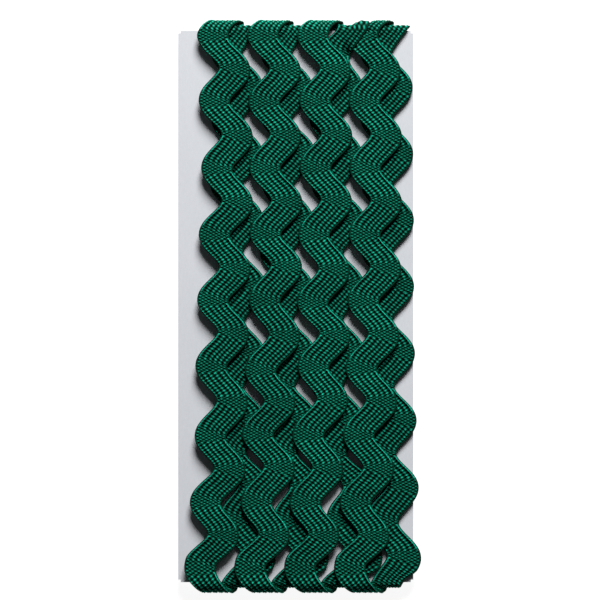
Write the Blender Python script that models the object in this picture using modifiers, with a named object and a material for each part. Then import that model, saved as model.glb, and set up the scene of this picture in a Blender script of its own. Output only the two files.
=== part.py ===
"""A length of green ric rac wound lengthwise round a strip of white card.

The braid is one crimped strip. It runs down the front of the card, round the bottom edge, up the
back and over the top edge, four turns from left to right and then four more back to the left on
top of them. The card lies on its back: X to the right, Y to the top of the card, Z up. Sizes are
in millimetres and are turned into metres where the meshes are made.
"""

import math
from collections import namedtuple

import bmesh
import bpy

METRES_PER_MM = 0.001

# Card
CARD_WIDTH = 56.6
CARD_LENGTH = 132.8
CARD_THICKNESS = 0.5
CARD_CORNER = 0.6

# Braid, laid out flat
BRAID_LENGTH = 2286.0
BRAID_REACH = 12.7
BRAID_WIDTH = 7.6
BRAID_THICKNESS = 1.0
WAVE_PITCH = 16.1
AMPLITUDE = (BRAID_REACH - BRAID_WIDTH) / 2
# The cross rows turn with the slope by this share of its angle, and lean by this angle everywhere.
ROW_TURN = 0.25
ROW_LEAN = math.radians(6.0)

# Winding
CARD_GAP = 0.3
LAYER_GAP = 0.15
TURN_SPACING = 12.0
TURNS_IN_LAYER = 4
LOWER_HEIGHT = CARD_THICKNESS / 2 + CARD_GAP + BRAID_THICKNESS / 2
UPPER_HEIGHT = LOWER_HEIGHT + BRAID_THICKNESS + LAYER_GAP
MID_PLANE = UPPER_HEIGHT + BRAID_THICKNESS / 2

# Each layer's turns run from left to right as numbered. The first row gives the rightmost turn:
# where its middle line meets the top and bottom edges, how far it bows sideways between them,
# and the height on the card of one of its right-hand peaks.
Layer = namedtuple("Layer", "height top bottom bow peak")
LOWER = Layer(height=LOWER_HEIGHT, top=21.4, bottom=24.1, bow=-0.7, peak=53.0)
UPPER = Layer(height=UPPER_HEIGHT, top=18.6, bottom=15.7, bow=1.2, peak=57.0)

# How far each run up the back bows sideways, in the order of winding
LOWER_BACK_BOW = -1.3
UPPER_BACK_BOWS = (-2.2, -0.7, 0.8)
# The first run comes up the back from a cut end, and the last one goes up it to the other
FIRST_RUN_START = -22.2
LAST_RUN_END = -23.0
LAST_RUN_LENGTH = 82.0
# The run that carries the braid from the lower layer to the upper one
CLIMB_BOW = 0.4
CLIMB_FROM = 0.13
CLIMB_TO = 0.27
CLIMB_CALM = 0.5
CALM_MIDDLE = 0.2
CALM_REACH = 0.45

STEPS_PER_WAVE = 8
FOLD_STEPS = 5
# The cross rows straighten within this distance of an edge of the card
EDGE_REACH = 5.0

# One stretch of the winding. side is front, bottom, back or top; places are middle lines across
# the card, heights are above its mid plane, and waves count the crimps since the winding began.
Run = namedtuple("Run", "side places bow heights waves calm first last")


def smooth_step(low, high, value):
    share = min(max((value - low) / (high - low), 0.0), 1.0)
    return share * share * (3 - 2 * share)


def height_at(run, share):
    climb = smooth_step(CLIMB_FROM, CLIMB_TO, share)
    return run.heights[0] + (run.heights[1] - run.heights[0]) * climb


def fold_length(height):
    return math.pi * height


def run_length(run):
    if run.side in ("front", "back"):
        return CARD_LENGTH
    return fold_length(run.heights[0])


def crimp_at(run, share):
    """The crimp's sideways place and its slope at a share of the run."""
    wave = run.waves[0] + (run.waves[1] - run.waves[0]) * share
    calm = run.calm * math.exp(-(((share - CALM_MIDDLE) / CALM_REACH) ** 2))
    size = AMPLITUDE * (1 - calm)
    per_mm = 2 * math.pi * (run.waves[1] - run.waves[0]) / run_length(run)
    angle = 2 * math.pi * wave
    return size * math.cos(angle), -size * per_mm * math.sin(angle)


def braid_point(run, share, side):
    """The point at a share of the run, on the left edge (side -1) or the right edge (side 1)."""
    start, end = run.places
    middle = start + (end - start) * share + run.bow * 4 * share * (1 - share)
    offset, slope = crimp_at(run, share)
    half = side * BRAID_WIDTH / 2
    height = height_at(run, share)
    if run.side in ("bottom", "top"):
        turn = math.pi * share
        down = 1 if run.side == "bottom" else -1
        return (
            middle + offset + half,
            -down * (CARD_LENGTH / 2 + height * math.sin(turn)),
            MID_PLANE + down * height * math.cos(turn),
        )
    from_edge = CARD_LENGTH * min(share, 1 - share)
    ease = smooth_step(0, EDGE_REACH, from_edge)
    tilt = (ROW_TURN * math.atan(slope) - ROW_LEAN) * ease
    along = CARD_LENGTH * share - half * math.sin(tilt)
    across = middle + offset + half * math.cos(tilt)
    if run.side == "front":
        return across, CARD_LENGTH / 2 - along, MID_PLANE + height
    return across, along - CARD_LENGTH / 2, MID_PLANE - height


def front_run(layer, turn):
    """A turn's run down the front; turn 0 is the rightmost."""
    shift = -turn * TURN_SPACING
    start = (layer.peak - CARD_LENGTH / 2) / WAVE_PITCH
    return Run(
        side="front",
        places=(layer.top + shift, layer.bottom + shift),
        bow=layer.bow,
        heights=(layer.height, layer.height),
        waves=(start, start + CARD_LENGTH / WAVE_PITCH),
        calm=0.0,
        first=0.0,
        last=1.0,
    )


def turn_over(before, after, bow, calm=0.0):
    """The runs round the bottom edge, up the back and over the top edge between two fronts."""
    low, high = before.heights[0], after.heights[0]
    lengths = (fold_length(low), CARD_LENGTH, fold_length(high))
    crimps = sum(lengths) / WAVE_PITCH
    start = before.waves[1]
    whole = round(start + crimps - after.waves[0])
    rate = (after.waves[0] + whole - start) / sum(lengths)
    foot = start + rate * lengths[0]
    head = foot + rate * lengths[1]
    end = head + rate * lengths[2]
    left, right = before.places[1], after.places[0]
    return [
        Run("bottom", (left, left), 0.0, (low, low), (start, foot), 0.0, 0.0, 1.0),
        Run("back", (left, right), bow, (low, high), (foot, head), calm, 0.0, 1.0),
        Run("top", (right, right), 0.0, (high, high), (head, end), 0.0, 0.0, 1.0),
    ]


def winding():
    """Every run of the braid, in order, from one cut end to the other."""
    last = TURNS_IN_LAYER - 1
    lower = [front_run(LOWER, last - turn) for turn in range(TURNS_IN_LAYER)]
    upper = [front_run(UPPER, turn) for turn in range(TURNS_IN_LAYER)]
    runs = []
    for before, after in zip(lower, lower[1:]):
        runs += [before, *turn_over(before, after, LOWER_BACK_BOW)]
    runs += [lower[-1], *turn_over(lower[-1], upper[0], CLIMB_BOW, CLIMB_CALM)]
    for before, after, bow in zip(upper, upper[1:], UPPER_BACK_BOWS):
        runs += [before, *turn_over(before, after, bow)]
    runs.append(upper[-1])
    tail = end_runs(upper[-1])
    used = sum(run_length(run) * (run.last - run.first) for run in runs + tail)
    return start_runs(lower[0], BRAID_LENGTH - used) + runs + tail


def start_runs(front, length):
    """The stretch of the given length that comes up the back before the first front run."""
    over = turn_over(front, front, LOWER_BACK_BOW)
    back, top = over[1], over[2]
    shift = front.waves[0] - top.waves[1]
    on_back = length - run_length(top)
    back = back._replace(
        places=(FIRST_RUN_START, front.places[0]),
        waves=(back.waves[0] + shift, back.waves[1] + shift),
        first=1 - on_back / CARD_LENGTH,
    )
    top = top._replace(waves=(top.waves[0] + shift, top.waves[1] + shift))
    return [back, top]


def end_runs(front):
    """The stretch that goes round the bottom edge and up the back after the last front run."""
    bottom, back, _ = turn_over(front, front, 0.0)
    back = back._replace(
        places=(front.places[1], LAST_RUN_END),
        last=LAST_RUN_LENGTH / CARD_LENGTH,
    )
    return [bottom, back]


def steps_in(run):
    if run.side in ("bottom", "top"):
        return FOLD_STEPS
    waves = abs(run.waves[1] - run.waves[0]) * (run.last - run.first)
    return math.ceil(waves * STEPS_PER_WAVE)


def add_material(thing, name, colour, roughness):
    material = bpy.data.materials.new(name)
    material.use_nodes = True
    shader = material.node_tree.nodes["Principled BSDF"]
    shader.inputs["Base Color"].default_value = (*colour, 1.0)
    shader.inputs["Roughness"].default_value = roughness
    shader.inputs["Metallic"].default_value = 0.0
    thing.data.materials.append(material)


def make_card(collection):
    bpy.ops.mesh.primitive_cube_add(size=1.0)
    card = bpy.context.object
    card.name = "card"
    card.data.name = "card"
    sizes = (CARD_WIDTH, CARD_LENGTH, CARD_THICKNESS)
    card.scale = [size * METRES_PER_MM for size in sizes]
    bpy.ops.object.transform_apply(location=False, rotation=False, scale=True)
    mesh = bmesh.new()
    mesh.from_mesh(card.data)
    upright = [edge for edge in mesh.edges if edge.verts[0].co.z * edge.verts[1].co.z < 0]
    bmesh.ops.bevel(
        mesh, geom=upright, offset=CARD_CORNER * METRES_PER_MM, segments=2, affect="EDGES"
    )
    mesh.to_mesh(card.data)
    mesh.free()
    card.location.z = MID_PLANE * METRES_PER_MM
    for other in list(card.users_collection):
        other.objects.unlink(card)
    collection.objects.link(card)
    add_material(card, "white card", (0.70, 0.72, 0.75), 0.75)
    return card


def make_braid(collection):
    strip = bmesh.new()
    edges = []
    for run in winding():
        steps = steps_in(run)
        for step in range(steps + 1):
            if edges and step == 0:
                continue
            share = run.first + (run.last - run.first) * step / steps
            edges.append(
                [
                    strip.verts.new(
                        [value * METRES_PER_MM for value in braid_point(run, share, side)]
                    )
                    for side in (-1, 1)
                ]
            )
    for (left, right), (next_left, next_right) in zip(edges, edges[1:]):
        strip.faces.new((left, right, next_right, next_left))
    mesh = bpy.data.meshes.new("ric_rac")
    strip.to_mesh(mesh)
    strip.free()
    braid = bpy.data.objects.new("ric_rac", mesh)
    collection.objects.link(braid)
    solid = braid.modifiers.new("thickness", "SOLIDIFY")
    solid.thickness = BRAID_THICKNESS * METRES_PER_MM
    solid.offset = 0.0
    solid.use_even_offset = True
    add_material(braid, "green braid", (0.004, 0.17, 0.09), 0.6)
    return braid


def centre_across(things):
    """Moves the pieces together, so that their box is centred on X and Y."""
    bpy.context.view_layer.update()
    graph = bpy.context.evaluated_depsgraph_get()
    corners = []
    for thing in things:
        shape = thing.evaluated_get(graph)
        corners += [thing.matrix_world @ vert.co for vert in shape.data.vertices]
    for axis in (0, 1):
        values = [corner[axis] for corner in corners]
        shift = (min(values) + max(values)) / 2
        for thing in things:
            thing.location[axis] -= shift


def main():
    for thing in list(bpy.data.objects):
        bpy.data.objects.remove(thing)
    collection = bpy.data.collections.new("card of ric rac")
    bpy.context.scene.collection.children.link(collection)
    centre_across([make_card(collection), make_braid(collection)])


main()
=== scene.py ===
"""A length of green ric rac wound on a white card, seen from straight above.

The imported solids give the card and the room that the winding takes. This script lays the braid
itself along the same path, with the relief of its plaited yarns, and gives the yarn and the card
their materials. Lengths named with MM are in millimetres; the scene is in metres.
"""

import math
from collections import namedtuple

import bpy
import numpy as np
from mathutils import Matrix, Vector


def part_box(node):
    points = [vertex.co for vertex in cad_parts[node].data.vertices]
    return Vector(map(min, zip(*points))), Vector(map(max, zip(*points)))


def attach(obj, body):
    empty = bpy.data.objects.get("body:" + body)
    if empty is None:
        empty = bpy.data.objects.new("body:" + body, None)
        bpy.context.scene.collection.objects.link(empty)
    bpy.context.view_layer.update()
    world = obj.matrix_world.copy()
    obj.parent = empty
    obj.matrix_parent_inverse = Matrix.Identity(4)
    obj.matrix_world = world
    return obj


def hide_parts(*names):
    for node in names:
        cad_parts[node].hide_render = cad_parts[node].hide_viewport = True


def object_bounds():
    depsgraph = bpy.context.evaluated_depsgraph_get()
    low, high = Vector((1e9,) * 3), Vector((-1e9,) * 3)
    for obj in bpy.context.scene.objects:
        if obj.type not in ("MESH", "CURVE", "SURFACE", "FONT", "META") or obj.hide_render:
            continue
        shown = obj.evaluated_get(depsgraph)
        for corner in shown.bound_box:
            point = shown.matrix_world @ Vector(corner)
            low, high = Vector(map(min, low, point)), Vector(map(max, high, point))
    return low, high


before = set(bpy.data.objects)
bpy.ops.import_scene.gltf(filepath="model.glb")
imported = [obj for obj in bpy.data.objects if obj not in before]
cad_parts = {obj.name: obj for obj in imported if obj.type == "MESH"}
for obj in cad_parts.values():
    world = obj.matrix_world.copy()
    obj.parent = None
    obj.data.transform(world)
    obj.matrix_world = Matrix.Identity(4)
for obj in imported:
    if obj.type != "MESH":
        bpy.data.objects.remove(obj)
cad_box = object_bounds()

MM = 0.001

# Card, read from the frame
card_low, card_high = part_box("card")
CARD_MIDDLE = [(low + high) / 2 / MM for low, high in zip(card_low, card_high)]
CARD_LENGTH = (card_high[1] - card_low[1]) / MM
CARD_THICKNESS = (card_high[2] - card_low[2]) / MM

# Braid, laid out flat
BRAID_LENGTH = 2286.0
BRAID_REACH = 12.7
BRAID_WIDTH = 7.6
BRAID_THICKNESS = 1.0
WAVE_PITCH = 16.1
AMPLITUDE = (BRAID_REACH - BRAID_WIDTH) / 2
ROW_TURN = 0.25
ROW_LEAN = math.radians(6.0)

# Winding
CARD_GAP = 0.3
LAYER_GAP = 0.15
TURN_SPACING = 12.0
TURNS_IN_LAYER = 4
LOWER_HEIGHT = CARD_THICKNESS / 2 + CARD_GAP + BRAID_THICKNESS / 2
UPPER_HEIGHT = LOWER_HEIGHT + BRAID_THICKNESS + LAYER_GAP

Layer = namedtuple("Layer", "height top bottom bow peak")
LOWER = Layer(height=LOWER_HEIGHT, top=21.4, bottom=24.1, bow=-0.7, peak=53.0)
UPPER = Layer(height=UPPER_HEIGHT, top=18.6, bottom=15.7, bow=1.2, peak=57.0)

LOWER_BACK_BOW = -1.3
UPPER_BACK_BOWS = (-2.2, -0.7, 0.8)
FIRST_RUN_START = -22.2
LAST_RUN_END = -23.0
LAST_RUN_LENGTH = 82.0
CLIMB_BOW = 0.4
CLIMB_FROM = 0.13
CLIMB_TO = 0.27
CLIMB_CALM = 0.5
CALM_MIDDLE = 0.2
CALM_REACH = 0.45
EDGE_REACH = 5.0

# How far each layer's fronts stray from their even bow and crimps, at places down the card: to
# the right, down, and wider on the left side. The turns left of the rightmost add a slow sway.
Stray = namedtuple("Stray", "at lower_right lower_down lower_wider upper_right upper_down")
STRAYS = (
    Stray(0.0, 0.3, 0.0, 0.0, 0.0, 0.0),
    Stray(4.3, 0.5, 0.2, 0.0, 0.0, 0.0),
    Stray(10.7, 0.4, 0.0, 0.0, 0.2, -0.1),
    Stray(28.8, 0.45, -0.1, 0.0, 0.45, -0.4),
    Stray(40.8, 0.5, -0.2, 0.0, 0.5, -0.4),
    Stray(57.6, 0.25, -0.4, 0.0, 0.5, -0.6),
    Stray(72.0, 0.1, -0.45, 0.0, 0.4, -0.6),
    Stray(93.7, 0.05, -0.4, 0.2, 0.3, -0.6),
    Stray(112.9, 0.05, -0.35, 0.4, 0.3, -0.6),
    Stray(121.0, 0.05, 0.3, 0.7, -0.1, -0.5),
    Stray(128.5, 0.05, 0.6, 0.7, -0.5, -1.0),
    Stray(132.8, 0.0, 0.0, 0.0, 0.0, 0.0),
)
SWAY = 0.35
SWAY_PITCHES = (61.0, 37.0)
# The lower turns left of the rightmost lie up to this much further right, near the bottom
CLOSER = 2.7
CLOSER_FROM = (100.0, 121.0)
CLOSER_TO = (127.0, 132.8)
# Behind the top edge each fold falls back to the left, in the lower and in the upper layer
FALL_BACK = (0.9, 1.8)
FALL_BACK_REACH = 12.0

# At the top edge one lower turn rides over its neighbour of the upper layer, which sinks beside
# it. Each moves by shift to the right and by rise outward, beyond a hinge across it, on one side.
# The hinge lies at the first place where the fold is outermost and at the second where the front
# begins, and drifts from there by so much for each mm down the front.
Tuck = namedtuple("Tuck", "shift rise side outermost hinge drift")
RIDES_OVER = Tuck(shift=2.4, rise=1.15, side=1, outermost=1.3, hinge=-1.1, drift=0.75)
SINKS = Tuck(shift=0.0, rise=-1.15, side=-1, outermost=-1.5, hinge=1.2, drift=-0.9)
TUCK_BEND = 1.2
SHIFT_FADE = (3.8, 10.5)
RISE_FADE = (2.4, 5.5)
FOLD_SHIFT_FADE = (0.25, 0.65)
FOLD_RISE_FADE = (0.2, 0.5)

# Plait. Two sets of yarns cross; where the braid slants, one set lies on top in bold columns of
# stitches, one stitch to a row, and at the bends both show. A stitch's height goes from 0 to 1.
# Rows stand closer on the slants than at the bends, and lean less than the braid's ends would.
ROWS_PER_WAVE = 26
ROW_CROWDING = 0.16
STITCH_ROW_LEAN = math.radians(-2.0)
STITCH_ROW_TURN = math.radians(3.5)
COLUMN_PITCH = 1.4
COLUMN_MIDDLE = 0.7
COLUMN_SHIFT = 0.35
# The set that falls to the right leaves a bare rim on the right, so its columns stand closer
CROWDED_FROM = -0.7
CROWDING = 0.16
RIM = 0.62
RIM_HEIGHT = 0.42
STITCH_MEAN = 0.425
COLUMN_RISE = 0.30
YARN_RISE = 0.275
BEND_CONTRAST = 0.55
# The bend's small stitches fill a wedge, wider on the outside of the bend: the crimp's slope
# where the wedge ends, half-way across, the share by which it widens outward, and its pure part
SET_FADE = 0.70
BEND_WEDGE = 0.45
BEND_CORE = 0.35
RELIEF = 0.45
# The smooth selvedge cord: its place and radius, from the edge
CORD_PLACE = 0.42
CORD_RADIUS = 0.24
DULL_CORD = 0.10
CORD_FADE = (-0.1, 0.6)
CORD_RIM = 0.36
CORD_TWIST = 0.8
CORD_BEADS = 0.12
EDGE_ROUND = 0.45
RIM_ROUND = 0.85
# How far the stitches stray from their even places: across in mm, along in rows
STRAY_ACROSS = 0.09
STRAY_ALONG = 0.14

# Rows sampled for each stitch on the front, on the outer layer of the back and on its inner one
FRONT_SAMPLES = 4
OUTER_BACK_SAMPLES = 3
INNER_BACK_SAMPLES = 2
EDGE_COLUMNS = (0.0, 0.07, 0.17, 0.29, 0.42, 0.56, 0.70)
UNDER_INSET = 0.35
COLUMN_SAMPLES = 4

Run = namedtuple(
    "Run", "side places bow heights waves calm first last turn tuck", defaults=[None, None]
)


def smooth_step(low, high, value):
    share = np.clip((value - low) / (high - low), 0.0, 1.0)
    return share * share * (3 - 2 * share)


# Path of the braid


def fold_length(height):
    return math.pi * height


def run_length(run):
    if run.side in ("front", "back"):
        return CARD_LENGTH
    return fold_length(run.heights[0])


def front_run(layer, turn):
    """A turn's run down the front; turn 0 is the rightmost."""
    shift = -turn * TURN_SPACING
    start = (layer.peak - CARD_LENGTH / 2) / WAVE_PITCH
    return Run(
        side="front",
        places=(layer.top + shift, layer.bottom + shift),
        bow=layer.bow,
        heights=(layer.height, layer.height),
        waves=(start, start + CARD_LENGTH / WAVE_PITCH),
        calm=0.0,
        first=0.0,
        last=1.0,
        turn=turn,
    )


def turn_over(before, after, bow, calm=0.0):
    """The runs round the bottom edge, up the back and over the top edge between two fronts."""
    low, high = before.heights[0], after.heights[0]
    lengths = (fold_length(low), CARD_LENGTH, fold_length(high))
    crimps = sum(lengths) / WAVE_PITCH
    start = before.waves[1]
    whole = round(start + crimps - after.waves[0])
    rate = (after.waves[0] + whole - start) / sum(lengths)
    foot = start + rate * lengths[0]
    head = foot + rate * lengths[1]
    end = head + rate * lengths[2]
    left, right = before.places[1], after.places[0]
    return [
        Run("bottom", (left, left), 0.0, (low, low), (start, foot), 0.0, 0.0, 1.0),
        Run("back", (left, right), bow, (low, high), (foot, head), calm, 0.0, 1.0, after.turn),
        Run("top", (right, right), 0.0, (high, high), (head, end), 0.0, 0.0, 1.0, after.turn),
    ]


def start_runs(front, length):
    """The stretch of the given length that comes up the back before the first front run."""
    over = turn_over(front, front, LOWER_BACK_BOW)
    back, top = over[1], over[2]
    shift = front.waves[0] - top.waves[1]
    on_back = length - run_length(top)
    back = back._replace(
        places=(FIRST_RUN_START, front.places[0]),
        waves=(back.waves[0] + shift, back.waves[1] + shift),
        first=1 - on_back / CARD_LENGTH,
    )
    top = top._replace(waves=(top.waves[0] + shift, top.waves[1] + shift))
    return [back, top]


def end_runs(front):
    """The stretch that goes round the bottom edge and up the back after the last front run."""
    bottom, back, _ = turn_over(front, front, 0.0)
    back = back._replace(
        places=(front.places[1], LAST_RUN_END),
        last=LAST_RUN_LENGTH / CARD_LENGTH,
        turn=None,
    )
    return [bottom, back]


def winding():
    """The runs of each piece of braid, in order from one cut end to the other."""
    last = TURNS_IN_LAYER - 1
    lower = [front_run(LOWER, last - turn) for turn in range(TURNS_IN_LAYER)]
    upper = [front_run(UPPER, turn) for turn in range(TURNS_IN_LAYER)]
    stretches = []
    for before, after in zip(lower, lower[1:]):
        stretches.append([before, *turn_over(before, after, LOWER_BACK_BOW)])
    stretches.append([lower[-1], *turn_over(lower[-1], upper[0], CLIMB_BOW, CLIMB_CALM)])
    for before, after, bow in zip(upper, upper[1:], UPPER_BACK_BOWS):
        stretches.append([before, *turn_over(before, after, bow)])
    stretches.append([upper[-1], *end_runs(upper[-1])])
    for index, tuck in ((2, RIDES_OVER), (4, SINKS)):
        stretches[index - 1][-1] = stretches[index - 1][-1]._replace(tuck=tuck)
        stretches[index][0] = stretches[index][0]._replace(tuck=tuck)
    used = sum(
        run_length(run) * (run.last - run.first) for stretch in stretches for run in stretch
    )
    return [start_runs(lower[0], BRAID_LENGTH - used), *stretches]


def slope_at(run, wave, share):
    calm = run.calm * np.exp(-(((share - CALM_MIDDLE) / CALM_REACH) ** 2))
    size = AMPLITUDE * (1 - calm)
    per_mm = 2 * np.pi * (run.waves[1] - run.waves[0]) / run_length(run)
    angle = 2 * np.pi * wave
    return size * np.cos(angle), -size * per_mm * np.sin(angle)


def tucked(run, share, across):
    """How far the braid moves to the right and outward where it is tucked over or under."""
    tuck = run.tuck
    if run.side == "top":
        near = smooth_step(*FOLD_SHIFT_FADE, share)
        full = smooth_step(*FOLD_RISE_FADE, share)
        turned = np.clip(2 * share - 1, 0, 1)
        hinge = tuck.outermost + (tuck.hinge - tuck.outermost) * turned
    else:
        down = CARD_LENGTH * share
        near = 1 - smooth_step(*SHIFT_FADE, down)
        full = 1 - smooth_step(*RISE_FADE, down)
        hinge = tuck.hinge + tuck.drift * down
    beyond = smooth_step(-TUCK_BEND, TUCK_BEND, tuck.side * (across - hinge))
    return tuck.shift * near, tuck.rise * full * beyond


def strayed(run, share):
    """How far a front run strays to the right and down at a share of it, and how much wider it is."""
    table = np.array(STRAYS)
    upper = run.heights[0] > LOWER_HEIGHT
    places = (4, 5) if upper else (1, 2, 3)
    values = [np.interp(CARD_LENGTH * share, table[:, 0], table[:, at]) for at in places]
    right, down, wider = [*values, 0 * share][:3]
    if run.turn:
        seed = run.turn + TURNS_IN_LAYER * upper
        size = SWAY * np.sin(np.pi * share)
        slow, quick = [2 * np.pi * CARD_LENGTH * share / pitch for pitch in SWAY_PITCHES]
        right = right + size * (np.sin(slow + 2.4 * seed) + np.sin(quick + 1.3 * seed) / 2)
        if not upper:
            closer = smooth_step(*CLOSER_FROM, CARD_LENGTH * share)
            closer = closer * (1 - smooth_step(*CLOSER_TO, CARD_LENGTH * share))
            right = right + CLOSER * closer * (1 - run.turn / TURNS_IN_LAYER) * 4 / 3
        down = down + size * (np.sin(slow + 4.1 * seed) + np.sin(quick + 3.2 * seed) / 2)
    return right, down, wider


def lay(run, wave, across):
    """The braid's middle surface and its outward direction, for a column of waves by a row of
    places across. Gives the lean of the stitches too, from -1 where the braid falls to the left
    to 1, and how far the stitch rows lie from the lines across the braid."""
    share = (wave - run.waves[0]) / (run.waves[1] - run.waves[0])
    start, end = run.places
    middle = start + (end - start) * share + run.bow * 4 * share * (1 - share)
    offset, slope = slope_at(run, wave, share)
    climb = smooth_step(CLIMB_FROM, CLIMB_TO, share)
    height = run.heights[0] + (run.heights[1] - run.heights[0]) * climb
    flat = np.zeros_like(share + across)
    if run.tuck:
        shift, rise = tucked(run, share, across)
        middle = middle + shift
        height = height + rise
    if run.side in ("bottom", "top"):
        turn = np.pi * share
        down = 1 if run.side == "bottom" else -1
        out = np.stack([flat, flat - down * np.sin(turn), flat + down * np.cos(turn)], axis=-1)
        place = out * height[..., None]
        if run.turn is not None:
            offset = offset + strayed(run, 0 * share)[0] * smooth_step(0.5, 1.0, share)
            fall = FALL_BACK[run.heights[1] > LOWER_HEIGHT]
            offset = offset - fall * (1 - smooth_step(0.0, 0.5, share))
        place[..., 0] = middle + offset + across
        place[..., 1] -= down * CARD_LENGTH / 2
        skew = flat
    else:
        from_edge = CARD_LENGTH * np.minimum(share, 1 - share)
        ease = smooth_step(0, EDGE_REACH, from_edge)
        tilt = (ROW_TURN * np.arctan(slope) - ROW_LEAN) * ease
        along = CARD_LENGTH * share - across * np.sin(tilt)
        up = 1 if run.side == "front" else -1
        if run.side == "front":
            right, down, wider = strayed(run, share)
            offset = offset + right - wider * (0.5 - across / BRAID_WIDTH)
            along = along + down
        elif run.turn is not None:
            near = smooth_step(CARD_LENGTH - FALL_BACK_REACH, CARD_LENGTH, CARD_LENGTH * share)
            offset = offset - FALL_BACK[run.heights[1] > LOWER_HEIGHT] * near
        out = np.stack([flat, flat, flat + up], axis=-1)
        place = out * height[..., None]
        place[..., 0] = middle + offset + across * np.cos(tilt)
        place[..., 1] = up * (CARD_LENGTH / 2 - along)
        stitch_tilt = (STITCH_ROW_LEAN + STITCH_ROW_TURN * slope) * ease
        skew = across * (np.sin(stitch_tilt) - np.sin(tilt))
    outward = np.cos(2 * np.pi * wave) * across / (BRAID_WIDTH / 2)
    reach = SET_FADE * (1 + BEND_WEDGE * outward)
    lean = np.sign(slope) * smooth_step(BEND_CORE, 1.0, np.abs(slope) / reach)
    return place + CARD_MIDDLE, out, lean + flat, skew


# Relief of the plait


def wander(along, across, seed):
    """A smooth uneven number from about -1 to 1, at places along and across in mm."""
    total = 0 * along + 0 * across
    for index, (pitch, tilt) in enumerate(((23.0, 0.9), (9.7, -1.3), (5.3, 1.7))):
        phase = 2.4 * index + 1.7 * seed
        total = total + np.sin(2 * np.pi * along / pitch + tilt * across + phase) / (index + 1)
    return total / 1.8


def stitch_row(wave):
    """The number of stitch rows up to a count of waves."""
    crowded = ROW_CROWDING / (4 * np.pi) * np.sin(4 * np.pi * wave)
    return ROWS_PER_WAVE * (wave - crowded)


def stitch_set(hand, row, across, lean):
    """Height of one set of stitches; hand is 1 for those that rise to the right."""
    if hand < 0:
        crowding = CROWDING * np.maximum(-lean, 0)
        across = across + crowding * np.maximum(across - CROWDED_FROM, 0)
    shift = -hand * COLUMN_SHIFT * (1 - hand * lean)
    column = (across - COLUMN_MIDDLE - shift) / COLUMN_PITCH
    row = row + (0.5 if hand < 0 else 0.0)
    ridge = COLUMN_RISE * np.cos(2 * np.pi * column)
    return ridge + YARN_RISE * np.cos(2 * np.pi * (column + hand * row))


def relief(row, across, lean):
    """Height of the plait's surface from 0 in its pits to 1 on its stitches."""
    rising = (1 + lean) / 2
    falling_set = stitch_set(-1, row, across, lean)
    mixed = falling_set + (stitch_set(1, row, across, lean) - falling_set) * rising
    bend = 1 + BEND_CONTRAST * 4 * rising * (1 - rising)
    stitches = STITCH_MEAN + mixed * bend
    rim = (1 - rising) * smooth_step(-RIM, RIM / 2 - RIM, across - BRAID_WIDTH / 2)
    stitches = stitches + (RIM_HEIGHT - stitches) * rim
    from_edge = BRAID_WIDTH / 2 - np.abs(across)
    outside = smooth_step(0, CORD_RADIUS, CORD_PLACE - from_edge)
    stitches = stitches + (CORD_RIM - stitches) * outside
    bright = smooth_step(CORD_FADE[0], CORD_FADE[1], np.sign(across) * lean)
    cord = np.sqrt(np.clip(1 - ((from_edge - CORD_PLACE) / CORD_RADIUS) ** 2, 0, 1))
    return np.clip(np.maximum(stitches, cord * (DULL_CORD + (1 - DULL_CORD) * bright)), 0, 1)


def edge_round(across, lean):
    """The share of the half thickness that is left near the edges."""
    falling = (1 - lean) / 2
    reach = EDGE_ROUND + (RIM_ROUND - EDGE_ROUND) * falling * (across > 0)
    inset = np.clip((BRAID_WIDTH / 2 - np.abs(across)) / reach, 0, 1)
    return np.sqrt(1 - (1 - inset) ** 2)


def columns_across():
    edge = BRAID_WIDTH / 2 - np.array(EDGE_COLUMNS)
    inner = edge.min()
    step = COLUMN_PITCH / COLUMN_SAMPLES
    count = int(inner / step) + COLUMN_SAMPLES
    middle = COLUMN_MIDDLE + step * np.arange(-count - 8, count)
    middle = middle[np.abs(middle) < inner - step / 3]
    return np.concatenate([-edge, middle, edge[::-1]])


def run_waves(run, samples, whole_start, whole_end):
    """The wave counts at which a run is sampled, on the rows of the plait."""
    span = run.waves[1] - run.waves[0]
    low = run.waves[0] + span * run.first
    high = run.waves[0] + span * run.last
    per_wave = ROWS_PER_WAVE * samples
    inside = np.arange(math.floor(low * per_wave) + 1, math.ceil(high * per_wave)) / per_wave
    inside = inside[(inside > low + 0.2 / per_wave) & (inside < high - 0.2 / per_wave)]
    ends = [np.array([value]) for value, used in ((low, whole_start), (high, whole_end)) if used]
    if whole_start:
        inside = np.concatenate([ends.pop(0), inside])
    if whole_end:
        inside = np.concatenate([inside, ends.pop(0)])
    return inside[:, None]


def samples_for(run):
    if run.side != "back":
        return FRONT_SAMPLES
    return OUTER_BACK_SAMPLES if run.heights[1] > LOWER_HEIGHT else INNER_BACK_SAMPLES


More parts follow.
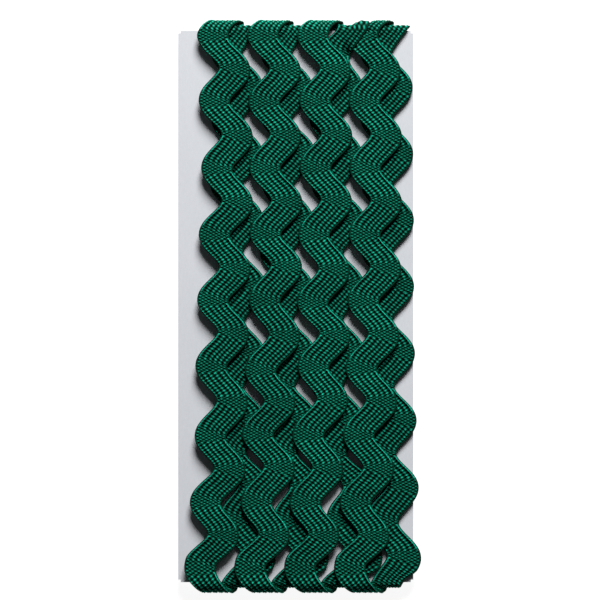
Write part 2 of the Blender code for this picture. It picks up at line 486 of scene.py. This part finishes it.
def make_stretch(name, runs, turn):
    """One stretch of braid as a closed mesh: plaited outside, plain inside, with cut ends."""
    across = columns_across()[None, :]
    from_edge = BRAID_WIDTH / 2 - np.abs(across)
    half = BRAID_THICKNESS / 2
    fade = np.clip(from_edge / CORD_PLACE, 0, 1)
    under = np.array([[1, -1]]) * (BRAID_WIDTH / 2 - UNDER_INSET)
    rings, marks = [], []
    for index, run in enumerate(runs):
        wave = run_waves(run, samples_for(run), index == 0, index == len(runs) - 1)
        place, out, lean, skew = lay(run, wave, across)
        length = wave * WAVE_PITCH
        stray = np.clip(from_edge, 0, 1)
        column_place = across + STRAY_ACROSS * stray * wander(length, across, turn)
        row = stitch_row(wave + skew / WAVE_PITCH)
        row = row + STRAY_ALONG * stray * wander(length, across, turn + 5)
        height = relief(row, column_place, lean)
        proud = half * edge_round(across, lean) - RELIEF * (1 - height) * fade
        outer = place + out * proud[..., None]
        place_under, out_under, lean_under, _ = lay(run, wave, under)
        inner = place_under - out_under * half
        rings.append(np.concatenate([outer, inner], axis=1))
        marks.append(
            np.stack(
                [
                    np.concatenate([column_place, under + 0 * wave], axis=1),
                    np.concatenate([row, stitch_row(wave + 0 * under)], axis=1),
                    np.concatenate([lean, lean_under], axis=1),
                ],
                axis=-1,
            )
        )
    points = np.concatenate(rings)
    marks = np.concatenate(marks)
    return grid_object(name, points * MM, marks, turn)


def grid_object(name, points, marks, turn):
    rows, ring = points.shape[:2]
    corner = np.arange(rows * ring).reshape(rows, ring)
    here, after = corner[:-1], corner[1:]
    quads = np.stack(
        [here, np.roll(here, -1, axis=1), np.roll(after, -1, axis=1), after], axis=-1
    ).reshape(-1, 4)
    ends = [corner[0][::-1], corner[-1]]
    corners = np.concatenate([quads.ravel(), *ends])
    starts = np.concatenate([np.arange(len(quads)) * 4, len(quads) * 4 + np.array([0, ring])])
    mesh = bpy.data.meshes.new(name)
    mesh.vertices.add(rows * ring)
    mesh.vertices.foreach_set("co", points.astype(np.float32).ravel())
    mesh.loops.add(len(corners))
    mesh.loops.foreach_set("vertex_index", corners.astype(np.int32))
    mesh.polygons.add(len(starts))
    mesh.polygons.foreach_set("loop_start", starts.astype(np.int32))
    mesh.update(calc_edges=True)
    mesh.validate()
    held = mesh.attributes.new("plait", "FLOAT_VECTOR", "POINT")
    held.data.foreach_set("vector", marks.astype(np.float32).ravel())
    number = mesh.attributes.new("turn", "FLOAT", "POINT")
    number.data.foreach_set("value", np.full(rows * ring, turn, np.float32))
    mesh.shade_smooth()
    piece = bpy.data.objects.new(name, mesh)
    bpy.context.scene.collection.objects.link(piece)
    return piece


# Materials


class Nodes:
    """Short calls for building a material's node tree."""

    def __init__(self, name):
        self.material = bpy.data.materials.new(name)
        self.material.use_nodes = True
        self.tree = self.material.node_tree
        self.shader = self.tree.nodes["Principled BSDF"]

    def add(self, kind, **settings):
        node = self.tree.nodes.new(kind)
        for key, value in settings.items():
            setattr(node, key, value)
        return node

    def join(self, source, socket):
        if hasattr(source, "links"):
            self.tree.links.new(source, socket)
        else:
            socket.default_value = source

    def maths(self, operation, *values, clamp=False):
        node = self.add("ShaderNodeMath", operation=operation, use_clamp=clamp)
        for value, socket in zip(values, node.inputs):
            self.join(value, socket)
        return node.outputs[0]

    def smooth(self, low, high, value, to_low=0.0, to_high=1.0):
        node = self.add("ShaderNodeMapRange", interpolation_type="SMOOTHSTEP")
        for socket, given in zip(node.inputs, (value, low, high, to_low, to_high)):
            self.join(given, socket)
        return node.outputs[0]

    def noise(self, vector, scale, detail=2.0):
        node = self.add("ShaderNodeTexNoise")
        self.tree.links.new(vector, node.inputs["Vector"])
        node.inputs["Scale"].default_value = scale
        node.inputs["Detail"].default_value = detail
        return node.outputs["Fac"]

    def ramp(self, value, stops):
        node = self.add("ShaderNodeValToRGB")
        bar = node.color_ramp
        while len(bar.elements) < len(stops):
            bar.elements.new(0.5)
        for element, (place, colour) in zip(bar.elements, stops):
            element.position = place
            element.color = (*colour, 1.0)
        self.tree.links.new(value, node.inputs["Fac"])
        return node.outputs["Color"]

    def blend(self, share, first, second, kind="Float"):
        node = self.add("ShaderNodeMix", data_type="RGBA" if kind == "Color" else "FLOAT")
        sockets = {socket.identifier: socket for socket in node.inputs}
        for key, value in (("Factor_Float", share), (f"A_{kind}", first), (f"B_{kind}", second)):
            self.join(value, sockets[key])
        return next(out for out in node.outputs if out.identifier == f"Result_{kind}")

    def scaled(self, colour, amount):
        node = self.add("ShaderNodeVectorMath", operation="SCALE")
        self.join(colour, node.inputs[0])
        self.join(amount, node.inputs["Scale"])
        return node.outputs[0]


FILAMENTS = 6
# Painted light on the yarn: where the braid falls to the left it is painted darker and where it falls
# to the right lighter, for how the light falls on each slant
SLANT_PAINTED_LIGHT = (0.80, 1.10)
# Painted shade: the share of brightness left on the yarn of the lower layer
LOWER_LAYER_PAINTED_SHADE = 0.86
# Colours along the relief's height: the pit colour is painted shade in the pits, the shade colour is
# painted shade on the low rims and the sides of the stitches, the yarn colour is the yarn's own
# green, and the top colour is a painted highlight on the stitch tops
PAINTED_PIT_SHADE_COLOUR = (0.0001, 0.0006, 0.0004)
SHADE_COLOUR = (0.0008, 0.036, 0.019)
YARN_COLOUR = (0.0025, 0.155, 0.090)
PAINTED_HIGHLIGHT_COLOUR = (0.0090, 0.490, 0.330)


def shaded_stitches(nodes, hand, row, across, lean, turn):
    """The shader's copy of one set of stitches: its height, each stitch's chance number and its
    filaments."""
    maths = nodes.maths
    if hand < 0:
        beyond = maths("MAXIMUM", maths("SUBTRACT", across, CROWDED_FROM), 0.0)
        crowding = maths("MAXIMUM", maths("MULTIPLY", lean, -CROWDING), 0.0)
        across = maths("MULTIPLY_ADD", beyond, crowding, across)
    away = maths("MULTIPLY_ADD", lean, -float(hand), 1.0)
    place = maths("MULTIPLY_ADD", away, hand * COLUMN_SHIFT, -COLUMN_MIDDLE)
    column = maths("DIVIDE", maths("ADD", across, place), COLUMN_PITCH)
    row = maths("ADD", row, 0.5 if hand < 0 else 0.0)
    yarn = maths("MULTIPLY_ADD", row, float(hand), column)
    ridge = maths("COSINE", maths("MULTIPLY", column, 2 * math.pi))
    over = maths("COSINE", maths("MULTIPLY", yarn, 2 * math.pi))
    height = maths("MULTIPLY_ADD", ridge, COLUMN_RISE, maths("MULTIPLY", over, YARN_RISE))
    cell = nodes.add("ShaderNodeCombineXYZ")
    nodes.join(maths("ROUND", column), cell.inputs[0])
    nodes.join(maths("ROUND", row), cell.inputs[1])
    nodes.join(maths("ADD", turn, 20.0 * hand), cell.inputs[2])
    chance = nodes.add("ShaderNodeTexWhiteNoise", noise_dimensions="3D")
    nodes.join(cell.outputs[0], chance.inputs["Vector"])
    filaments = maths("COSINE", maths("MULTIPLY", yarn, 2 * math.pi * FILAMENTS))
    return height, chance.outputs["Value"], filaments


def braid_material():
    nodes = Nodes("green_braid")
    maths = nodes.maths
    plait = nodes.add("ShaderNodeAttribute", attribute_name="plait")
    turn = nodes.add("ShaderNodeAttribute", attribute_name="turn").outputs["Fac"]
    parts = nodes.add("ShaderNodeSeparateXYZ")
    nodes.join(plait.outputs["Vector"], parts.inputs[0])
    across, row, lean = parts.outputs
    rising = maths("MULTIPLY_ADD", lean, 0.5, 0.5)
    sets = zip(
        shaded_stitches(nodes, -1, row, across, lean, turn),
        shaded_stitches(nodes, 1, row, across, lean, turn),
    )
    mixed, chance, filaments = [nodes.blend(rising, falling, rise) for falling, rise in sets]
    falling = maths("SUBTRACT", 1.0, rising)
    bend = maths("MULTIPLY_ADD", maths("MULTIPLY", rising, falling), 4 * BEND_CONTRAST, 1.0)
    stitches = maths("MULTIPLY_ADD", mixed, bend, STITCH_MEAN)
    # The bare rim and the cord's outer rim are set low in height, so the colour ramp below paints
    # them with painted shade
    past_edge = maths("SUBTRACT", across, BRAID_WIDTH / 2)
    rim = maths("MULTIPLY", falling, nodes.smooth(-RIM, -RIM / 2, past_edge))
    stitches = nodes.blend(rim, stitches, RIM_HEIGHT)
    from_edge = maths("SUBTRACT", BRAID_WIDTH / 2, maths("ABSOLUTE", across))
    outside = nodes.smooth(CORD_PLACE - CORD_RADIUS, CORD_PLACE, from_edge, 1.0, 0.0)
    stitches = nodes.blend(outside, stitches, CORD_RIM)
    side = maths("MULTIPLY", maths("SIGN", across), lean)
    bright = nodes.smooth(*CORD_FADE, side, DULL_CORD, 1.0)
    cord = maths("DIVIDE", maths("SUBTRACT", from_edge, CORD_PLACE), CORD_RADIUS)
    cord = maths("SUBTRACT", 1.0, maths("MULTIPLY", cord, cord), clamp=True)
    cord = maths("MULTIPLY", maths("SQRT", cord), bright)
    twist = maths("MULTIPLY_ADD", from_edge, CORD_TWIST, row)
    bead = maths("COSINE", maths("MULTIPLY", twist, 2 * math.pi))
    cord = maths("MULTIPLY", cord, maths("MULTIPLY_ADD", bead, CORD_BEADS, 1 - CORD_BEADS))
    height = maths("MAXIMUM", maths("MAXIMUM", stitches, cord), 0.0)
    # The colour follows the height: painted shade in the pits and on the low rims, the yarn's green
    # between, a painted highlight on the stitch tops
    tone = nodes.ramp(
        height,
        ((0.14, PAINTED_PIT_SHADE_COLOUR), (0.40, SHADE_COLOUR), (0.66, YARN_COLOUR), (0.97, PAINTED_HIGHLIGHT_COLOUR)),
    )
    lift = maths("MULTIPLY_ADD", chance, 0.40, 0.80)
    lift = maths("MULTIPLY", lift, maths("MULTIPLY_ADD", filaments, 0.05, 1.0))
    place = nodes.add("ShaderNodeTexCoord").outputs["Object"]
    lift = maths("MULTIPLY", lift, nodes.smooth(0.3, 0.7, nodes.noise(place, 90.0), 0.90, 1.08))
    # Painted light: the slants that fall to the left are painted darker, those that fall to the right
    # lighter
    lift = maths("MULTIPLY", lift, nodes.blend(rising, *SLANT_PAINTED_LIGHT))
    # Painted shade: the pieces whose fronts lie in the lower layer are painted darker all over
    under = maths("LESS_THAN", turn, TURNS_IN_LAYER + 0.5)
    lift = maths("MULTIPLY", lift, maths("MULTIPLY_ADD", under, LOWER_LAYER_PAINTED_SHADE - 1, 1.0))
    nodes.join(nodes.scaled(tone, lift), nodes.shader.inputs["Base Color"])
    nodes.join(nodes.smooth(0.0, 1.0, height, 0.92, 0.72), nodes.shader.inputs["Roughness"])
    nodes.shader.inputs["Specular IOR Level"].default_value = 0.05
    bump = nodes.add("ShaderNodeBump")
    bump.inputs["Strength"].default_value = 0.6
    bump.inputs["Distance"].default_value = 0.2 * MM
    nodes.join(maths("MULTIPLY_ADD", filaments, 0.04, height), bump.inputs["Height"])
    nodes.join(bump.outputs[0], nodes.shader.inputs["Normal"])
    return nodes.material


CARD_COLOUR = (0.640, 0.655, 0.690)
CARD_EDGE_COLOUR = (0.56, 0.57, 0.58)


def card_material():
    nodes = Nodes("white_card")
    place = nodes.add("ShaderNodeTexCoord").outputs["Object"]
    stretch = nodes.add("ShaderNodeMapping")
    stretch.inputs["Scale"].default_value = (1.0, 0.35, 1.0)
    nodes.join(place, stretch.inputs["Vector"])
    fibres = nodes.noise(stretch.outputs[0], 2600.0, 4.0)
    clouds = nodes.noise(place, 60.0, 3.0)
    tint = nodes.smooth(0.2, 0.8, fibres, 0.975, 1.02)
    tint = nodes.maths("MULTIPLY", tint, nodes.smooth(0.2, 0.8, clouds, 0.985, 1.015))
    facing = nodes.add("ShaderNodeSeparateXYZ")
    nodes.join(nodes.add("ShaderNodeNewGeometry").outputs["Normal"], facing.inputs[0])
    flat = nodes.smooth(0.3, 0.8, nodes.maths("ABSOLUTE", facing.outputs[2]))
    colour = nodes.blend(flat, (*CARD_EDGE_COLOUR, 1.0), (*CARD_COLOUR, 1.0), "Color")
    nodes.join(nodes.scaled(colour, tint), nodes.shader.inputs["Base Color"])
    nodes.join(nodes.smooth(0.2, 0.8, fibres, 0.62, 0.78), nodes.shader.inputs["Roughness"])
    nodes.shader.inputs["Specular IOR Level"].default_value = 0.3
    bump = nodes.add("ShaderNodeBump")
    bump.inputs["Strength"].default_value = 0.25
    bump.inputs["Distance"].default_value = 0.03 * MM
    nodes.join(fibres, bump.inputs["Height"])
    nodes.join(bump.outputs[0], nodes.shader.inputs["Normal"])
    return nodes.material


def floor_material():
    nodes = Nodes("pale_floor")
    nodes.shader.inputs["Base Color"].default_value = (0.25, 0.25, 0.25, 1.0)
    nodes.shader.inputs["Roughness"].default_value = 0.9
    nodes.shader.inputs["Specular IOR Level"].default_value = 0.1
    nodes.shader.inputs["Emission Color"].default_value = (1.0, 1.0, 1.0, 1.0)
    nodes.shader.inputs["Emission Strength"].default_value = 0.92
    return nodes.material


# Scene

FRAME_WIDTH = 144.2
CAMERA_DISTANCE = 1.1
SENSOR = 36.0
# Middle of the picture, from the middle of the card
VIEW_MIDDLE = (1.03, 1.56)


def look_at(thing, target):
    way = Vector(target) - thing.location
    thing.rotation_euler = way.to_track_quat("-Z", "Y").to_euler()


def make_camera():
    data = bpy.data.cameras.new("camera")
    data.sensor_width = SENSOR
    data.lens = SENSOR * CAMERA_DISTANCE / (FRAME_WIDTH * MM)
    data.clip_start = 0.05
    camera = bpy.data.objects.new("camera", data)
    across = (CARD_MIDDLE[0] + VIEW_MIDDLE[0]) * MM
    up = (CARD_MIDDLE[1] + VIEW_MIDDLE[1]) * MM
    camera.location = (across, up, CAMERA_DISTANCE + cad_box[1][2])
    bpy.context.scene.collection.objects.link(camera)
    bpy.context.scene.camera = camera


def make_light(name, place, size, power, target=(0, 0, 0)):
    data = bpy.data.lights.new(name, "AREA")
    data.shape = "DISK"
    data.size = size
    data.energy = power
    light = bpy.data.objects.new(name, data)
    light.location = place
    look_at(light, target)
    bpy.context.scene.collection.objects.link(light)


def make_stage():
    bpy.ops.mesh.primitive_plane_add(size=6.0)
    floor = bpy.context.object
    floor.name = "floor"
    floor.data.materials.append(floor_material())
    world = bpy.data.worlds.new("studio")
    world.use_nodes = True
    world.node_tree.nodes["Background"].inputs["Color"].default_value = (0.95, 0.97, 1.0, 1.0)
    world.node_tree.nodes["Background"].inputs["Strength"].default_value = 0.03
    bpy.context.scene.world = world
    bpy.context.scene.view_settings.view_transform = "Standard"
    make_light("key", (0.13, 0.98, 0.60), 0.54, 25.0)
    make_light("fill", (0.35, 0.75, 0.80), 0.60, 0.5)


def main():
    make_camera()
    make_stage()
    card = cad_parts["card"]
    card.data.materials.clear()
    card.data.materials.append(card_material())
    green = braid_material()
    for turn, runs in enumerate(winding()):
        piece = make_stretch(f"ric_rac_turn_{turn}", runs, turn)
        piece.data.materials.append(green)
        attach(piece, "root")
        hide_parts("ric_rac")


main()
